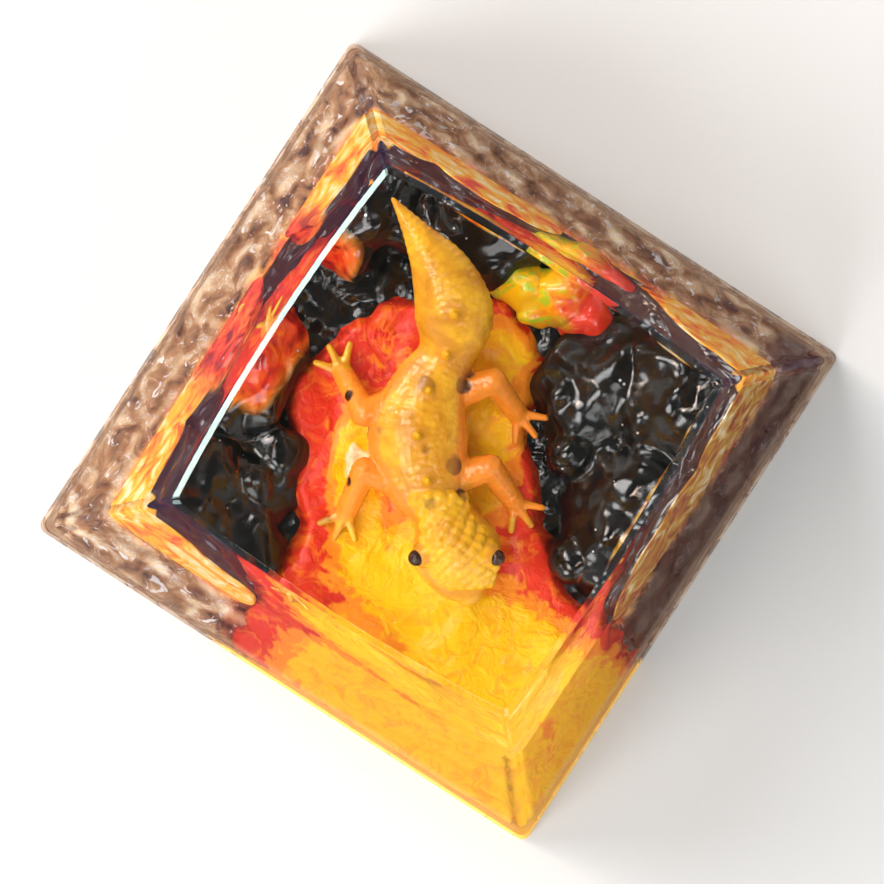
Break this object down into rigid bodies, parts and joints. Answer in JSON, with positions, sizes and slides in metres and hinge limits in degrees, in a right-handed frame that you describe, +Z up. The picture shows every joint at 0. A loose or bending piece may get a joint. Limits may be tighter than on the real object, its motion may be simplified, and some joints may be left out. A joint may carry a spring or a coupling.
{
  "type": "artisan keycap",
  "caption": "Clear resin keycap with sloping walls, a dished top and a cast lava and rock scene inside, on a cross-socket post.",
  "frame": {"origin": "middle of the rim that the cap stands on", "axes": "+Z up from the rim to the dished top, X and Y along the four walls, lava spilling over the +X -Y corner"},
  "size_m": [0.0182, 0.0182, 0.0117],
  "materials": {
    "clear_resin": "polished clear resin",
    "backing_resin": "gloss dark brown resin, yellow at the lava corner",
    "rock": "gloss black with fine sparkle, wet brown on the sides",
    "lava": "gloss, yellow to red",
    "splash": "gloss, yellow and red",
    "lizard": "painted gold and orange"
  },
  "bodies": {
    "root": {"clear_body": "clear_resin", "stem_base": "backing_resin", "rock_bed": "rock", "rock_right": "rock", "rock_left": "rock", "rock_back": "rock", "lava_flow": "lava", "lava_splash": "splash", "lizard": "lizard"}
  },
  "joints": []
}
